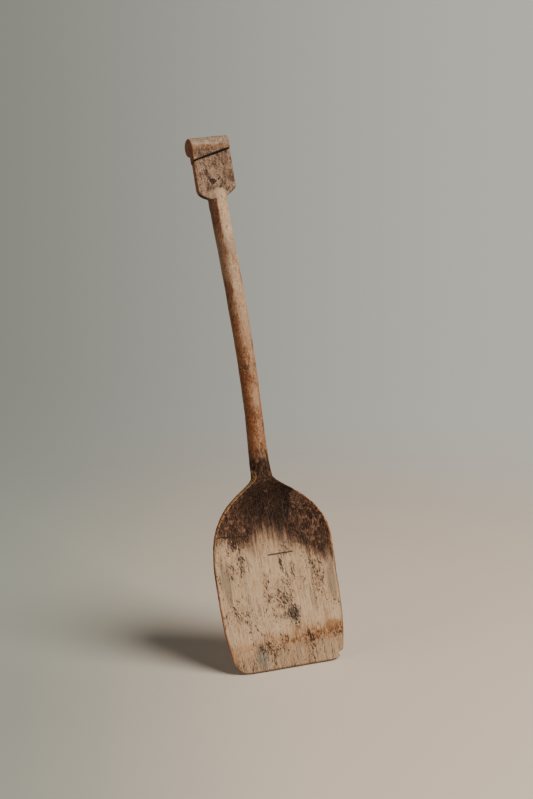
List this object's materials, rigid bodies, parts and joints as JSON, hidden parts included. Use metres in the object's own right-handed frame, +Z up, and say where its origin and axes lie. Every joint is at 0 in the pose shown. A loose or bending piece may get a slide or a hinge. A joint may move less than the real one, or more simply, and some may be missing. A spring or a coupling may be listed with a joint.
{
  "type": "feed scoop",
  "caption": "Long wooden feed scoop: broad dished blade, bowed round shaft and a flat paddle head with a rolled grip along its top.",
  "frame": {"origin": "on the floor under the middle of the standing scoop, level with the blade's edge", "axes": "+Z up the shaft from the blade's edge to the grip, -Y the way the hollow face looks, +X to the right of someone looking at that face"},
  "size_m": [0.2656, 0.0552, 1.083],
  "materials": {
    "blade_wood": "bare, worn and stained, dark towards the neck",
    "shaft_wood": "hand-polished, orange brown",
    "head_wood": "bare, worn and gouged",
    "roll_wood": "bare, rubbed pale on top",
    "peg_wood": "dark end grain",
    "pin_iron": "rusted dark"
  },
  "bodies": {
    "root": {"blade": "blade_wood", "shaft": "shaft_wood", "handle_head": "head_wood", "grip_roll": "roll_wood", "blade_peg_upper": "peg_wood", "blade_peg_middle": "peg_wood", "blade_peg_lower": "peg_wood", "head_pin_upper": "pin_iron", "head_pin_lower": "pin_iron", "roll_dowel_left": "peg_wood", "roll_dowel_right": "peg_wood"}
  },
  "joints": []
}
